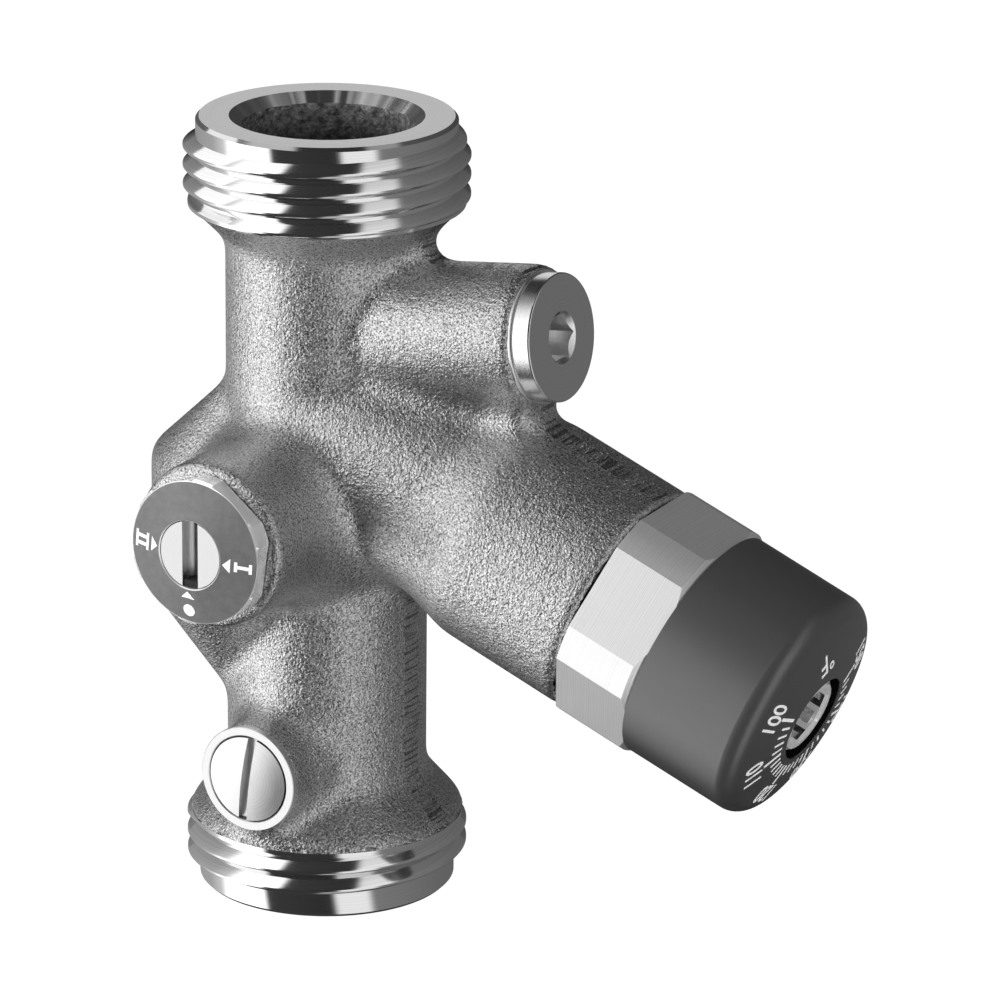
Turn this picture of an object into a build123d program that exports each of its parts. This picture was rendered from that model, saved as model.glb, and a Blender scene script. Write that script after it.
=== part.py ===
from build123d import *
import math
import os

# Circulation regulating valve: a cast body with two male pipe connections, an inclined
# regulating branch, a sensor plug, a three-way selector and a slotted port plug.
# Frame: origin at the centre of the lower sealing face, +Z up along the pipe,
# +X to the side of the regulating branch, -Y to the selector. Millimetres and degrees.

# Pipe connections: 1 inch parallel pipe thread with a flat sealing face
body_height = 93.2
thread_crest_radius = 16.62
thread_root_radius = 15.145
thread_pitch = 2.309
thread_crest_flat = 0.36
upper_ridges = 3
lower_ridges = 2
land_length = 2.1
face_chamfer = 0.4
collar_radius = 16.2
upper_collar_depth = 9.9
lower_collar_depth = 7.9
mouth_radius = 11.3
mouth_depth = 1.2
mouth_bore_radius = 10.0

# Cast pipe
neck_radius = 11.8
upper_cone_height = 4.4
lower_cone_height = 5.0
lower_collar_height = 1.2
passage_radius = 9.4
upper_floor_height = 67.6
lower_dome_height = 38.0
lower_dome_rounding = 6.0

# Regulating branch: its axis crosses the pipe axis and leans downwards
branch_height = 57.3
branch_lean = 21.4
branch_root_radius = 12.6
branch_radius = 14.1
branch_length = 43.3
shoulder_start = 20.5
shoulder_length = 6.0
shoulder_rounding = 6.0
branch_bore_radius = 10.3
seat_face = -1.5
seat_lip_height = 0.6
seat_lip_width = 1.4
seat_radius = 5.2
seat_wall = 3.6
seat_pocket = 8.0
bonnet_thread_radius = 11.3
bonnet_thread_length = 11.3
duct_radius = 9.2

# Flow chamber bulge beside the seat
chamber_x = -8.2
chamber_y = -4.2
chamber_radius = 11.4
chamber_wall = 2.8
chamber_bottom = 21.0
chamber_lower_edge = 35.8
chamber_upper_edge = 52.8
chamber_top = 63.9
chamber_rounding = 2.0

# Sensor plug boss above the branch
plug_height = 67.7
plug_rise = 7.0
plug_boss_radius = 8.3
plug_boss_length = 29.3
plug_head_radius = 7.4
plug_head_thickness = 2.35
plug_thread_radius = 4.85
plug_thread_length = 8.8
plug_hex = 5.0
plug_hex_depth = 3.4
plug_hex_mouth = 3.05
plug_port_radius = 3.5
plug_groove_depth = 1.3
plug_ring_wire = 0.65
web_width = 8.4
web_setback = 0.9
web_start = 12.0

# Selector
selector_height = 48.3
selector_boss_radius = 9.8
selector_boss_reach = 25.9
selector_boss_root = 13.0
selector_flare_length = 10.0
selector_flare_rounding = 6.0
selector_nut_radius = 8.35
selector_nut_thickness = 2.4
selector_nut_rim = 0.5
selector_nut_flats = 15.4
selector_skirt_radius = 6.9
selector_skirt_length = 5.4
selector_window_radius = 4.05
selector_crown = 1.1
selector_lip = 3.6
selector_washer_thickness = 0.8
selector_collar_radius = 5.9
selector_collar_thickness = 1.6
selector_journal_radius = 4.9
selector_face_recess = 0.15
selector_slot_width = 2.1
selector_slot_depth = 2.0
selector_shutter_length = 3.4
selector_inner_end = 9.4
selector_groove_place = 15.0

# Port plug at the foot
port_height = 17.3
port_boss_radius = 6.3
port_boss_reach = 17.5
port_recess_depth = 2.9
port_recess_radius = 5.25
port_head_radius = 5.1
port_head_thickness = 2.1
port_dome_rise = 0.5
port_thread_radius = 3.3
port_shank_length = 4.6
port_slot_width = 1.1
port_slot_depth = 1.2
port_ring_wire = 0.4

# Bonnet: round bar with six milled flats
bonnet_radius = 14.45
bonnet_flats = 27.0
bonnet_length = 9.7
bonnet_chamfer = 0.7
bonnet_flat_turn = 2.6
bonnet_pilot_length = 4.0
bonnet_bore_radius = 7.8
bonnet_bore_end = 46.0
neck_seat_radius = 11.9
neck_seat_length = 8.2
key_width = 3.0
key_radius = 9.1
key_slot_length = 10.0
seal_recess_radius = 12.9
seal_thickness = 1.1
o_ring_wire = 0.9

# Dial cap
cap_length = 16.65
cap_back_radius = 14.07
cap_front_radius = 14.0
cap_rounding = 2.5
cap_crown_radius = 50.0
cap_wall = 2.1
cap_face_thickness = 3.7
dial_hole_radius = 5.3

# Setting spindle
spindle_journal_radius = 3.95
spindle_flange_radius = 6.5
spindle_flange_thickness = 2.0
thrust_washer_thickness = 0.6
spindle_thread_radius = 3.45
spindle_tail_length = 19.0
spindle_head_radius = 4.7
spindle_head_recess = 1.4
spindle_hex = 6.0
spindle_hex_depth = 4.0
clip_thickness = 0.8
clip_radius = 5.6
clip_groove_radius = 3.3

# Setting sleeve and what it holds
sleeve_radius = 7.7
sleeve_wall = 1.1
sleeve_start = 17.0
sleeve_hub_start = 31.5
sleeve_hub_length = 4.7
sleeve_ring_thickness = 0.6
sleeve_ring_place = 0.4
sleeve_ring_width = 1.0
element_flange_thickness = 2.0
element_tail_radius = 4.2
element_tail_length = 3.5
capsule_radius = 5.2
capsule_length = 8.0
piston_radius = 1.6
overtravel_wire = 0.55
overtravel_turns = 5.0

# Plunger
plunger_opening = 3.0
plunger_seal_radius = 6.6
plunger_seal_thickness = 1.5
plunger_radius = 7.0
plunger_disc_thickness = 2.0
plunger_collar_radius = 9.5
plunger_collar_thickness = 1.5
plunger_hub_radius = 3.6
plunger_hub_length = 3.6
plunger_stud_radius = 2.5
plunger_nut_flats = 8.0
plunger_nut_thickness = 2.1
return_wire = 0.5
return_turns = 3.2

# Clearances
fit_gap = 0.05
slide_gap = 0.1
static_gap = 0.1


def turned(outline, roundings=None):
    """Solid turned about Z from a closed outline of (radius, station) points."""
    points = [(radius, 0, station) for radius, station in outline]
    if roundings is None:
        edges = Polyline(points, close=True)
    else:
        edges = FilletPolyline(points, radius=roundings, close=True)
    return revolve(make_face(edges), Axis.Z)


def rod(radius, start, end):
    """Round bar along Z between two stations."""
    return Pos(0, 0, start) * Cylinder(radius, end - start, align=seated)


def ring(outer, inner, start, end):
    """Plain ring along Z between two stations."""
    return rod(outer, start, end) - rod(inner, start - 1, end + 1)


def hexagon(across_flats, start, end, turn=0.0):
    """Hexagonal bar along Z between two stations."""
    profile = RegularPolygon(across_flats / 2, 6, major_radius=False, rotation=turn)
    return extrude(Pos(0, 0, start) * profile, end - start)


def o_ring(inner, outer, station, length):
    """Squeezed O-ring: an oval section turned about Z."""
    section = Ellipse((outer - inner) / 2, length / 2)
    face = Plane.XZ * Pos((inner + outer) / 2, station) * section
    return revolve(face, Axis.Z)


def coil(mean_radius, wire_radius, start, end, turns):
    """Compression spring wound about Z, its wire centred half a wire inside both ends."""
    height = end - start - 2 * wire_radius
    path = Helix(height / turns, height, mean_radius, center=(0, 0, start + wire_radius))
    section = Plane(path @ 0, z_dir=path % 0) * Circle(wire_radius)
    return sweep(section, path=path, is_frenet=True)


seated = (Align.CENTER, Align.CENTER, Align.MIN)

# Working axes, each with its own +Z outwards from the pipe axis
lean = math.radians(branch_lean)
rise = math.radians(plug_rise)
branch = Plane(
    origin=(0, 0, branch_height), x_dir=(0, 1, 0), z_dir=(math.cos(lean), 0, -math.sin(lean))
).location
sensor = Plane(
    origin=(0, 0, plug_height), x_dir=(0, 1, 0), z_dir=(math.cos(rise), 0, math.sin(rise))
).location
selector = Plane(origin=(0, 0, selector_height), x_dir=(1, 0, 0), z_dir=(0, -1, 0)).location
port = Plane(origin=(0, 0, port_height), x_dir=(1, 0, 0), z_dir=(0, -1, 0)).location

# Stations along the branch axis
bonnet_front = branch_length + bonnet_length
bonnet_inner_end = branch_length - bonnet_thread_length - bonnet_pilot_length
cap_front = bonnet_front + cap_length
neck_front = bonnet_front + neck_seat_length
thread_start = branch_length - bonnet_thread_length
flange_front = bonnet_bore_end - thrust_washer_thickness
flange_back = flange_front - spindle_flange_thickness
plunger_face = seat_face + plunger_opening
plunger_back = plunger_face + plunger_seal_thickness + plunger_disc_thickness
hub_end = plunger_back + plunger_hub_length
element_seat = sleeve_start + sleeve_ring_place + sleeve_ring_thickness
element_back = element_seat + element_flange_thickness
sleeve_bore = sleeve_radius - sleeve_wall


def thread_end(ridges, collar_depth):
    """Turned end from its sealing face at station 0 back to the collar: land, ridges, collar."""
    depth = thread_crest_radius - thread_root_radius
    flank = depth * math.tan(math.radians(27.5))
    outline = [(0, 0), (thread_root_radius - face_chamfer, 0), (thread_root_radius, face_chamfer)]
    for number in range(ridges):
        foot = land_length + number * thread_pitch
        outline.append((thread_root_radius, foot))
        outline.append((thread_crest_radius, foot + flank))
        outline.append((thread_crest_radius, foot + flank + thread_crest_flat))
        outline.append((thread_root_radius, foot + 2 * flank + thread_crest_flat))
    foot = land_length + ridges * thread_pitch
    outline.append((thread_root_radius, foot))
    outline.append((thread_crest_radius, foot + flank))
    outline.append((thread_crest_radius, max(collar_depth, foot + flank + 0.2)))
    outline.append((0, max(collar_depth, foot + flank + 0.2)))
    return turned(outline)


def cast_pipe():
    """Straight cast pipe with a cone up to each threaded end."""
    top = body_height - upper_collar_depth
    bottom = lower_collar_depth + lower_collar_height
    outline = [
        (0, lower_collar_depth),
        (collar_radius, lower_collar_depth),
        (collar_radius, bottom),
        (neck_radius, bottom + lower_cone_height),
        (neck_radius, top - upper_cone_height),
        (collar_radius, top),
        (0, top),
    ]
    return turned(outline, [0, 0, 2.0, 1.2, 2.0, 0, 0])


def cast_branch():
    """Inclined branch: a slimmer root, a shoulder and the full round end."""
    full = shoulder_start + shoulder_length
    outline = [
        (0, 0),
        (branch_root_radius, 0),
        (branch_root_radius, shoulder_start),
        (branch_radius, full),
        (branch_radius, branch_length),
        (0, branch_length),
    ]
    return branch * turned(outline, [0, 0, shoulder_rounding, shoulder_rounding, 0.3, 0])


def cast_chamber():
    """Bulge that leads the flow round to the back of the seat."""
    outline = [
        (0, chamber_bottom),
        (chamber_radius * 0.2, chamber_bottom + 1.5),
        (chamber_radius, chamber_lower_edge),
        (chamber_radius, chamber_upper_edge),
        (chamber_radius * 0.44, chamber_upper_edge + (chamber_top - chamber_upper_edge) * 0.55),
        (0, chamber_top),
    ]
    bulge = turned(outline, [0, 0, chamber_rounding * 2, chamber_rounding, 0, 0])
    return Pos(chamber_x, chamber_y, 0) * bulge


def cast_plug_boss():
    """Boss of the sensor plug with the web that ties it to the branch."""
    boss = sensor * turned(
        [(0, 0), (plug_boss_radius, 0), (plug_boss_radius, plug_boss_length), (0, plug_boss_length)],
        [0, 0, 0.5, 0],
    )
    web_foot = branch_height - branch_radius
    web = Pos(web_start, 0, web_foot) * Box(
        plug_boss_length - web_setback - web_start,
        web_width,
        plug_height - web_foot,
        align=(Align.MIN, Align.CENTER, Align.MIN),
    )
    return boss + web


def cast_selector_boss():
    """Selector boss, flared where it grows out of the pipe and the bulge."""
    flare_end = selector_boss_reach - selector_flare_length
    outline = [
        (0, 0),
        (selector_boss_root, 0),
        (selector_boss_root, neck_radius * 0.6),
        (selector_boss_radius, flare_end),
        (selector_boss_radius, selector_boss_reach),
        (0, selector_boss_reach),
    ]
    return selector * turned(outline, [0, 0, 0, selector_flare_rounding, 0.5, 0])


def cast_port_boss():
    """Short boss of the port plug."""
    outline = [
        (0, 0),
        (port_boss_radius + 1.0, 0),
        (port_boss_radius + 1.0, neck_radius - 1.5),
        (port_boss_radius, neck_radius + 1.5),
        (port_boss_radius, port_boss_reach),
        (0, port_boss_reach),
    ]
    return port * turned(outline, [0, 0, 0, 1.5, 0.3, 0])


def beyond_seat(outwards):
    """Large block on one side of the seat wall, to bound the flow passages."""
    size = 2 * body_height
    if outwards:
        return branch * Pos(0, 0, seat_face - seat_lip_height) * Box(size, size, size, align=seated)
    back = seat_face - seat_lip_height - seat_wall
    return branch * Pos(0, 0, back - size) * Box(size, size, size, align=seated)


def passages():
    """Everything that is hollow in the body."""
    upper = turned([
        (0, upper_floor_height),
        (passage_radius, upper_floor_height),
        (mouth_bore_radius, body_height - mouth_depth),
        (mouth_radius, body_height),
        (0, body_height),
    ])
    lower = turned(
        [
            (0, 0),
            (mouth_radius, 0),
            (mouth_bore_radius, mouth_depth),
            (passage_radius, lower_dome_height),
            (0, lower_dome_height),
        ],
        [0, 0, 0, lower_dome_rounding, 0],
    )
    duct = rod(duct_radius, branch_height, upper_floor_height + 1) & beyond_seat(True)
    lip_top = seat_face
    wall_face = seat_face - seat_lip_height
    bore = branch * (
        rod(branch_bore_radius, lip_top, thread_start)
        + rod(bonnet_thread_radius, thread_start, branch_length)
        + rod(seal_recess_radius, branch_length - seal_thickness, branch_length)
        + ring(branch_bore_radius, seat_radius + seat_lip_width, wall_face, lip_top)
        + rod(seat_radius, seat_face - seat_pocket, lip_top)
    )
    inner = chamber_radius - chamber_wall
    chamber_outline = [
        (0, chamber_bottom + 2 * chamber_wall),
        (inner * 0.35, chamber_bottom + 2 * chamber_wall),
        (inner, chamber_lower_edge + 1.0),
        (inner, chamber_upper_edge - 1.5),
        (inner * 0.5, chamber_upper_edge + 3.2),
        (0, chamber_upper_edge + 3.2),
    ]
    chamber = Pos(chamber_x, chamber_y, 0) * turned(chamber_outline, [0, 0, 3.0, 2.0, 1.0, 0])
    return upper + lower + duct + bore + (chamber & beyond_seat(False))


def boss_holes():
    """Bores, threads and seats of the three screwed-in pieces."""
    plug_thread_start = plug_boss_length - plug_thread_length - 1.0
    plug = sensor * (
        rod(plug_port_radius, passage_radius - 3, plug_thread_start)
        + rod(plug_thread_radius + fit_gap, plug_thread_start, plug_boss_length)
        + rod(
            plug_thread_radius + plug_groove_depth + static_gap,
            plug_boss_length - 2 * plug_ring_wire,
            plug_boss_length,
        )
    )
    skirt_bottom = selector_boss_reach - selector_skirt_length - 0.8
    choice = selector * (
        rod(selector_journal_radius + fit_gap, selector_inner_end - 0.6, skirt_bottom)
        + rod(selector_skirt_radius + fit_gap, skirt_bottom, selector_boss_reach)
    )
    recess_floor = port_boss_reach - port_recess_depth
    drain = port * (
        rod(port_thread_radius + fit_gap, passage_radius - 2, recess_floor)
        + rod(port_recess_radius, recess_floor, port_boss_reach)
    )
    return plug + choice + drain


def valve_body():
    """The one-piece casting with its machined ends, seats and bores."""
    lower_end = thread_end(lower_ridges, lower_collar_depth)
    upper_end = Pos(0, 0, body_height) * Rot(180, 0, 0) * thread_end(upper_ridges, upper_collar_depth)
    casting = cast_pipe() + lower_end + upper_end
    casting = casting + cast_chamber() + cast_branch()
    casting = casting + cast_plug_boss() + cast_selector_boss() + cast_port_boss()
    return casting - passages() - boss_holes()


def bonnet():
    """Turned nut screwed into the branch; carries spindle, sleeve and cap."""
    outer = [
        (0, bonnet_inner_end),
        (branch_bore_radius - static_gap, bonnet_inner_end),
        (branch_bore_radius - static_gap, thread_start),
        (bonnet_thread_radius - static_gap, thread_start + 1.0),
        (bonnet_thread_radius - static_gap, branch_length),
        (bonnet_radius, branch_length),
        (bonnet_radius, bonnet_front - bonnet_chamfer),
        (bonnet_radius - bonnet_chamfer, bonnet_front),
        (neck_seat_radius, bonnet_front),
        (neck_seat_radius, neck_front),
        (0, neck_front),
    ]
    blank = turned(outer)
    flats = rod(bonnet_radius + 1, branch_length, bonnet_front) - hexagon(
        bonnet_flats, branch_length, bonnet_front, bonnet_flat_turn
    )
    bore = rod(bonnet_bore_radius, bonnet_inner_end, bonnet_bore_end)
    bore += rod(spindle_journal_radius + fit_gap, bonnet_bore_end, neck_front)
    slot = Pos(0, 0, bonnet_inner_end) * Box(key_width, 2 * (key_radius + static_gap), key_slot_length, align=seated)
    return branch * (blank - flats - bore - slot)


def bonnet_seal():
    """Flat ring in the recess of the branch face."""
    start = branch_length - seal_thickness
    return branch * ring(
        seal_recess_radius - static_gap, bonnet_thread_radius - static_gap + fit_gap, start, branch_length
    )


def dial_cap():
    """Plastic cap with a crowned face, pushed over the neck of the bonnet, with the dial hole."""
    crown_edge = cap_front - cap_crown_radius + math.sqrt(cap_crown_radius ** 2 - cap_front_radius ** 2)
    sides = Polyline(
        (0, cap_front), (0, bonnet_front), (cap_back_radius, bonnet_front), (cap_front_radius, crown_edge)
    )
    crown = RadiusArc((cap_front_radius, crown_edge), (0, cap_front), -cap_crown_radius)
    profile = make_face(sides + crown)
    profile = fillet(profile.vertices().sort_by(Axis.X)[-2], cap_rounding)
    shell = revolve(Plane.XZ * profile, Axis.Z)
    cavity = rod(neck_seat_radius + fit_gap, bonnet_front, cap_front - cap_face_thickness)
    return branch * (shell - cavity - rod(dial_hole_radius, cap_front - cap_face_thickness, cap_front))


def setting_spindle():
    """Spindle with hexagon socket, thrust flange and the thread that moves the sleeve."""
    head_start = neck_front + clip_thickness + 2 * fit_gap
    head_end = cap_front - spindle_head_recess
    body = rod(spindle_thread_radius, flange_back - spindle_tail_length, flange_back)
    body += rod(spindle_flange_radius, flange_back, flange_front)
    body += rod(spindle_journal_radius, flange_front, head_end - 1.0)
    body += chamfer(
        rod(spindle_head_radius, head_start, head_end).edges().sort_by(Axis.Z)[-1], 0.4
    )
    body -= ring(spindle_journal_radius + 1, clip_groove_radius, neck_front, head_start)
    body -= ring(
        spindle_journal_radius + 1, spindle_journal_radius - 1.1, bonnet_front - 1.2, bonnet_front + 1.2
    )
    body -= hexagon(spindle_hex, head_end - spindle_hex_depth, head_end)
    return branch * body


def spindle_o_ring():
    """O-ring squeezed between spindle groove and bonnet bore."""
    inner = spindle_journal_radius - 1.1 + fit_gap
    outer = spindle_journal_radius
    return branch * o_ring(inner, outer, bonnet_front, 2 * o_ring_wire)


def thrust_washer():
    """Washer between the spindle's flange and the bonnet."""
    return branch * ring(spindle_flange_radius, spindle_journal_radius + static_gap, flange_front, bonnet_bore_end)


def spindle_clip():
    """Open clip in the spindle's groove, in front of the bonnet's neck."""
    start = neck_front + fit_gap
    clip = ring(clip_radius, clip_groove_radius + fit_gap, start, start + clip_thickness)
    mouth = Pos(0, clip_radius, start) * Box(2 * clip_groove_radius * 0.9, 2 * clip_radius, 4, align=seated)
    return branch * (clip - mouth)


def setting_sleeve():
    """Sleeve on the spindle's thread, kept from turning by two keys."""
    hub_end_station = sleeve_hub_start + sleeve_hub_length
    body = rod(sleeve_radius, sleeve_start, hub_end_station)
    keys = Pos(0, 0, sleeve_hub_start) * Box(
        key_width - 2 * slide_gap, 2 * key_radius - 2 * slide_gap, sleeve_hub_length, align=seated
    )
    keys = keys & rod(key_radius - slide_gap, sleeve_hub_start, hub_end_station)
    body = body + keys
    body -= rod(sleeve_bore, sleeve_start, sleeve_hub_start)
    body -= rod(spindle_thread_radius + fit_gap, sleeve_hub_start, hub_end_station)
    groove_start = sleeve_start + sleeve_ring_place
    body -= rod(sleeve_bore + 0.5, groove_start, groove_start + sleeve_ring_thickness)
    return branch * body


def element_ring():
    """Open ring in the sleeve's mouth that the element's flange rests on."""
    start = sleeve_start + sleeve_ring_place
    end = start + sleeve_ring_thickness
    body = ring(sleeve_bore + 0.5 - fit_gap, sleeve_bore - sleeve_ring_width, start, end)
    gap = Pos(0, sleeve_bore, start) * Box(3.0, 4.0, 4.0, align=seated)
    return branch * (body - gap)


def expansion_element():
    """Wax capsule with its flange and the bore for the piston."""
    capsule_front = element_seat - capsule_length
    body = rod(capsule_radius, capsule_front, element_seat)
    body = fillet(body.edges().group_by(Axis.Z)[0], 1.0)
    body += rod(sleeve_bore - static_gap, element_seat, element_back)
    body += rod(element_tail_radius, element_back, element_back + element_tail_length)
    body -= rod(piston_radius + fit_gap, capsule_front, element_seat)
    return branch * body


def element_piston():
    """Pin pushed out of the capsule; its tip stands in the plunger's hub."""
    return branch * rod(piston_radius, plunger_back, element_seat - 2.0)


def overtravel_spring():
    """Spring between the sleeve's hub and the element's flange."""
    mean = sleeve_bore - static_gap - overtravel_wire - 0.3
    return branch * coil(mean, overtravel_wire, element_back, sleeve_hub_start, overtravel_turns)


def plunger():
    """Regulating plunger with the collar of the return spring."""
    seal_back = plunger_face + plunger_seal_thickness
    body = turned([
        (0, plunger_face - plunger_nut_thickness),
        (plunger_stud_radius, plunger_face - plunger_nut_thickness),
        (plunger_stud_radius, seal_back),
        (plunger_radius, seal_back),
        (plunger_radius, plunger_back - plunger_collar_thickness),
        (plunger_collar_radius, plunger_back - plunger_collar_thickness),
        (plunger_collar_radius, plunger_back),
        (plunger_hub_radius, plunger_back),
        (plunger_hub_radius, hub_end),
        (0, hub_end),
    ])
    return branch * (body - rod(piston_radius + fit_gap, plunger_back, hub_end))


def plunger_seal():
    """Flat elastomer ring on the plunger's face."""
    return branch * ring(
        plunger_seal_radius, plunger_stud_radius + fit_gap, plunger_face, plunger_face + plunger_seal_thickness
    )


def plunger_nut():
    """Hexagon nut that clamps the seal."""
    start = plunger_face - plunger_nut_thickness
    return branch * (
        hexagon(plunger_nut_flats, start, plunger_face)
        - rod(plunger_stud_radius + fit_gap, start, plunger_face)
    )


def return_spring():
    """Spring round the seat lip that lifts the plunger off its seat."""
    start = seat_face - seat_lip_height
    end = plunger_back - plunger_collar_thickness
    inner = max(seat_radius + seat_lip_width, plunger_radius)
    mean = (inner + branch_bore_radius) / 2
    return branch * coil(mean, return_wire, start, end, return_turns)


def sensor_plug():
    """Round-headed screw plug with a hexagon socket."""
    head_end = plug_boss_length + plug_head_thickness
    body = turned(
        [
            (0, plug_boss_length - plug_thread_length),
            (plug_thread_radius, plug_boss_length - plug_thread_length),
            (plug_thread_radius, plug_boss_length),
            (plug_head_radius, plug_boss_length),
            (plug_head_radius, head_end),
            (0, head_end),
        ],
        [0, 0.6, 0, 0.1, 0.25, 0],
    )
    body -= hexagon(plug_hex, head_end - plug_hex_depth, head_end)
    mouth = plug_hex_mouth - plug_hex / 2
    body -= turned([
        (0, head_end - mouth),
        (plug_hex / 2, head_end - mouth),
        (plug_hex_mouth, head_end),
        (0, head_end),
    ])
    return sensor * body


def sensor_plug_o_ring():
    """O-ring in the recess under the plug's head."""
    return sensor * o_ring(
        plug_thread_radius + fit_gap,
        plug_thread_radius + plug_groove_depth,
        plug_boss_length - plug_ring_wire,
        2 * plug_ring_wire,
    )


def selector_nut():
    """Disc nut with a crowned face, six flats behind its rim, a skirt that screws in and a window."""
    front = selector_boss_reach + selector_nut_thickness
    top = front + selector_crown
    rim = front - selector_nut_rim
    skirt_end = selector_boss_reach - selector_skirt_length
    body = hexagon(selector_nut_flats, selector_boss_reach, rim) & rod(
        selector_nut_radius, selector_boss_reach, rim
    )
    disc = [
        (0, rim),
        (selector_nut_radius, rim),
        (selector_nut_radius, front),
        (selector_window_radius, top),
        (0, top),
    ]
    body += turned(disc, [0, 0, 0.12, 0, 0])
    body += rod(selector_skirt_radius, skirt_end, selector_boss_reach)
    body -= rod(selector_collar_radius + static_gap, skirt_end, top - selector_lip)
    return selector * (body - rod(selector_window_radius, top - selector_lip, top))


def selector_washer():
    """Washer between the spindle's collar and the nut."""
    lip = selector_boss_reach + selector_nut_thickness + selector_crown - selector_lip
    return selector * ring(
        selector_collar_radius, selector_window_radius, lip - selector_washer_thickness, lip
    )


def selector_spindle():
    """Slotted spindle with collar, journal and a half-round shutter at its inner end."""
    front = selector_boss_reach + selector_nut_thickness + selector_crown
    lip = front - selector_lip
    collar_top = lip - selector_washer_thickness
    collar_bottom = collar_top - selector_collar_thickness
    face = front - selector_face_recess
    shutter_end = selector_inner_end + selector_shutter_length
    body = rod(selector_journal_radius, selector_inner_end, collar_bottom)
    body += rod(selector_collar_radius, collar_bottom, collar_top)
    body += rod(selector_window_radius - slide_gap, collar_top, face)
    body -= ring(
        selector_journal_radius + 1,
        selector_journal_radius - 1.2,
        selector_groove_place - 1.1,
        selector_groove_place + 1.1,
    )
    half = Pos(selector_journal_radius, 0, selector_inner_end) * Box(
        2 * selector_journal_radius, 3 * selector_journal_radius, selector_shutter_length, align=seated
    )
    body -= half
    groove_depth = face - selector_slot_depth + selector_slot_width / 2
    body -= Pos(0, 0, groove_depth) * Box(
        selector_slot_width, 3 * selector_window_radius, selector_slot_depth, align=seated
    )
    body -= Pos(0, 0, groove_depth) * Rot(90, 0, 0) * Cylinder(
        selector_slot_width / 2, 3 * selector_window_radius
    )
    return selector * body


def selector_o_ring():
    """O-ring in the selector spindle's groove."""
    return selector * o_ring(
        selector_journal_radius - 1.2 + fit_gap, selector_journal_radius, selector_groove_place, 2 * o_ring_wire
    )


def port_plug():
    """Slotted screw plug with a domed head, sunk in its boss."""
    floor = port_boss_reach - port_recess_depth
    head_bottom = floor + 2 * port_ring_wire
    head_edge = head_bottom + port_head_thickness
    dome_radius = (port_head_radius ** 2 + port_dome_rise ** 2) / (2 * port_dome_rise)
    body = rod(port_head_radius, head_bottom, head_edge + port_dome_rise)
    dome = Pos(0, 0, head_edge + port_dome_rise - dome_radius) * Sphere(dome_radius)
    body = body & dome
    body += rod(port_thread_radius, head_bottom - port_shank_length, head_bottom)
    slot_floor = head_edge + port_dome_rise - port_slot_depth
    body -= Pos(0, 0, slot_floor) * Box(port_slot_width, 3 * port_head_radius, 4, align=seated)
    return port * body


def port_plug_o_ring():
    """O-ring under the head of the port plug."""
    floor = port_boss_reach - port_recess_depth
    inner = port_thread_radius + fit_gap
    return port * o_ring(inner, inner + 2 * port_ring_wire, floor + port_ring_wire, 2 * port_ring_wire)


pieces = {
    "valve_body": valve_body,
    "bonnet": bonnet,
    "bonnet_seal": bonnet_seal,
    "dial_cap": dial_cap,
    "setting_spindle": setting_spindle,
    "spindle_o_ring": spindle_o_ring,
    "thrust_washer": thrust_washer,
    "spindle_clip": spindle_clip,
    "setting_sleeve": setting_sleeve,
    "element_ring": element_ring,
    "expansion_element": expansion_element,
    "element_piston": element_piston,
    "overtravel_spring": overtravel_spring,
    "plunger": plunger,
    "plunger_seal": plunger_seal,
    "plunger_nut": plunger_nut,
    "return_spring": return_spring,
    "sensor_plug": sensor_plug,
    "sensor_plug_o_ring": sensor_plug_o_ring,
    "selector_nut": selector_nut,
    "selector_washer": selector_washer,
    "selector_spindle": selector_spindle,
    "selector_o_ring": selector_o_ring,
    "port_plug": port_plug,
    "port_plug_o_ring": port_plug_o_ring,
}

os.makedirs("parts", exist_ok=True)
for name, make in pieces.items():
    export_step(make(), f"parts/{name}.step")
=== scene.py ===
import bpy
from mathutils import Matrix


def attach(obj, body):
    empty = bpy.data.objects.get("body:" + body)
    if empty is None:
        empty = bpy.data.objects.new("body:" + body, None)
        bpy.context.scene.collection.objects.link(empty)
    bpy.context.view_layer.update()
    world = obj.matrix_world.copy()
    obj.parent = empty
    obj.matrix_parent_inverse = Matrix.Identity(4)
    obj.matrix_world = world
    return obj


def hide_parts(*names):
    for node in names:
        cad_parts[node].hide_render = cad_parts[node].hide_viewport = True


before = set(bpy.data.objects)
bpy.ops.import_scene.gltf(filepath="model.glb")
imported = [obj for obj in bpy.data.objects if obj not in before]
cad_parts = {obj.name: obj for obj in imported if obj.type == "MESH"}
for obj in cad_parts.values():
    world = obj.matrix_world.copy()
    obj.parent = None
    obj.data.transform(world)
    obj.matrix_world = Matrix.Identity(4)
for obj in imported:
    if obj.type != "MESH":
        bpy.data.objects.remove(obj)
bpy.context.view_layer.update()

import math

import bpy
from mathutils import Matrix, Vector, noise

# Casting: one sand-cast gunmetal body with pipe, inclined branch, flow chamber and three
# bosses, shot blasted after casting. Its creases are the mould's generous fillets. The two
# ends are cut off square here and carry the turned connections of the next section.
mm = 0.001
casting_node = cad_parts["valve_body"]
mould_grid = 0.51 * mm
mould_fillet = 1.5 * mm
upper_cut = 83.0 * mm
lower_cut = 8.3 * mm
branch_lean = math.radians(21.4)
branch_root = Vector((0, 0, 57.3 * mm))
branch_axis = Vector((math.cos(branch_lean), 0, -math.sin(branch_lean)))
branch_up = Vector((math.sin(branch_lean), 0, math.cos(branch_lean)))
branch_face = 43.1 * mm


def deselect_everything():
    if bpy.context.object and bpy.context.object.mode != "OBJECT":
        bpy.ops.object.mode_set(mode="OBJECT")
    bpy.ops.object.select_all(action="DESELECT")


def make_active(piece):
    """Select one piece alone."""
    deselect_everything()
    piece.select_set(True)
    bpy.context.view_layer.objects.active = piece


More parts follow.
